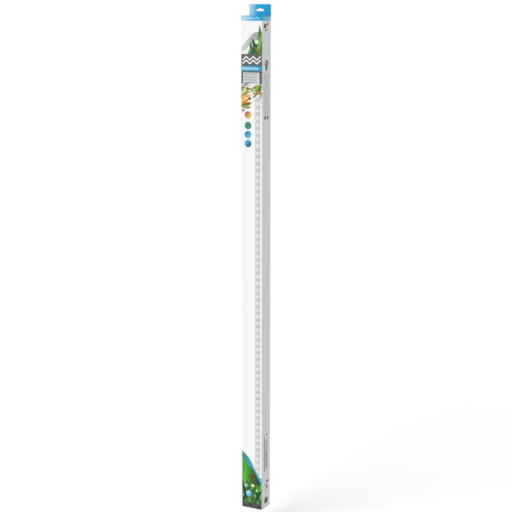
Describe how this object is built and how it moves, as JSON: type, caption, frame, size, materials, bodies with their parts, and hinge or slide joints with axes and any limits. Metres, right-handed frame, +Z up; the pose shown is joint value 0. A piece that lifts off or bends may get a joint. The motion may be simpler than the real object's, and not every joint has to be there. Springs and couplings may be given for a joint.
{
  "type": "led aquarium light",
  "caption": "Telescopic tube lamp for an aquarium hood with its power supply, packed upright in a tall hanging carton with tuck-in lids and dust flaps.",
  "frame": {"origin": "middle of the carton's flat foot", "axes": "+Z up along the carton, -Y out of the printed front, +X towards the side panel that the picture shows"},
  "size_m": [0.056, 0.046, 1.246],
  "materials": {
    "board_white": "satin coated board",
    "board_blue": "satin coated board, blue print",
    "pad_board": "plain brown layered board",
    "sink_aluminium": "anodised",
    "cover_clear": "clear moulding",
    "board_mask": "white solder mask",
    "led_white": "phosphor window",
    "led_red": "red window",
    "chip_black": "moulded",
    "cap_grey": "fine texture",
    "stub_white": "smooth",
    "seal_rubber": "matt",
    "gasket_rubber": "matt silicone",
    "screw_steel": "plain",
    "gland_black": "moulded",
    "psu_black": "fine texture",
    "psu_board_green": "solder mask",
    "core_yellow": "taped",
    "can_navy": "sleeved can",
    "lens_green": "clear tinted"
  },
  "bodies": {
    "carton": {"front_panel": "board_white", "right_side_panel": "board_white", "back_panel": "board_white", "left_side_panel": "board_white", "glue_flap": "board_white", "hang_tab_facing": "board_blue", "lower_pad": "pad_board", "middle_pad": "pad_board", "upper_pad": "pad_board", "psu_pad": "pad_board", "heat_sink": "sink_aluminium", "light_cover": "cover_clear", "led_board": "board_mask", "board_terminal": "board_mask", "white_leds": "led_white", "red_leds": "led_red", "ballast_resistors": "chip_black", "upper_end_cap": "cap_grey", "lower_end_cap": "cap_grey", "gland_seal": "seal_rubber", "upper_gasket": "gasket_rubber", "lower_gasket": "gasket_rubber", "upper_cap_screws": "screw_steel", "lower_cap_screws": "screw_steel", "cable_gland": "gland_black", "gland_nut": "gland_black", "psu_outlet_gland": "gland_black", "psu_base": "psu_black", "psu_lid": "psu_black", "psu_mains_inlet": "psu_black", "psu_board": "psu_board_green", "psu_transformer": "core_yellow", "psu_capacitors": "can_navy", "psu_status_lens": "lens_green"},
    "top_lid": {"top_tuck_flap": "board_blue"},
    "top_dust_right": {"top_dust_flap_right": "board_white"},
    "top_dust_left": {"top_dust_flap_left": "board_white"},
    "bottom_lid": {"bottom_tuck_flap": "board_white"},
    "bottom_dust_right": {"bottom_dust_flap_right": "board_white"},
    "bottom_dust_left": {"bottom_dust_flap_left": "board_white"},
    "upper_end": {"upper_stub": "stub_white", "upper_stub_seal": "seal_rubber", "upper_snap_ring": "screw_steel"},
    "upper_collar": {"upper_collar": "cap_grey"},
    "lower_end": {"lower_stub": "stub_white", "lower_stub_seal": "seal_rubber", "lower_snap_ring": "screw_steel"},
    "lower_collar": {"lower_collar": "cap_grey"}
  },
  "joints": [
    {"name": "top_lid_fold", "type": "hinge", "parent": "carton", "child": "top_lid", "pos_m": [0, 0.0197, 1.2194], "axis": [-1, 0, 0], "range_deg": [0, 88]},
    {"name": "top_dust_right_fold", "type": "hinge", "parent": "carton", "child": "top_dust_right", "pos_m": [0.0274, 0, 1.2179], "axis": [0, 1, 0], "range_deg": [0, 120]},
    {"name": "top_dust_left_fold", "type": "hinge", "parent": "carton", "child": "top_dust_left", "pos_m": [-0.0274, 0, 1.2179], "axis": [0, -1, 0], "range_deg": [0, 120]},
    {"name": "bottom_lid_fold", "type": "hinge", "parent": "carton", "child": "bottom_lid", "pos_m": [0, 0.0224, 0.0006], "axis": [1, 0, 0], "range_deg": [0, 110]},
    {"name": "bottom_dust_right_fold", "type": "hinge", "parent": "carton", "child": "bottom_dust_right", "pos_m": [0.0274, 0, 0.0021], "axis": [0, -1, 0], "range_deg": [0, 150]},
    {"name": "bottom_dust_left_fold", "type": "hinge", "parent": "carton", "child": "bottom_dust_left", "pos_m": [-0.0274, 0, 0.0021], "axis": [0, 1, 0], "range_deg": [0, 150]},
    {"name": "upper_end_slide", "type": "slide", "parent": "carton", "child": "upper_end", "axis": [0, 0, 1], "range_m": [0, 0.0255]},
    {"name": "upper_collar_turn", "type": "hinge", "parent": "upper_end", "child": "upper_collar", "pos_m": [0.0126, 0, 1.18], "axis": [0, 0, 1], "continuous": true},
    {"name": "lower_end_slide", "type": "slide", "parent": "carton", "child": "lower_end", "axis": [0, 0, -1], "range_m": [0, 0.0255]},
    {"name": "lower_collar_turn", "type": "hinge", "parent": "lower_end", "child": "lower_collar", "pos_m": [0.0126, 0, 0.04], "axis": [0, 0, 1], "continuous": true}
  ],
  "couplings": [
    {"joint": "top_dust_right_fold", "follows": "top_lid_fold", "ratio": 1},
    {"joint": "top_dust_left_fold", "follows": "top_lid_fold", "ratio": 1},
    {"joint": "bottom_dust_right_fold", "follows": "bottom_lid_fold", "ratio": 1},
    {"joint": "bottom_dust_left_fold", "follows": "bottom_lid_fold", "ratio": 1}
  ]
}
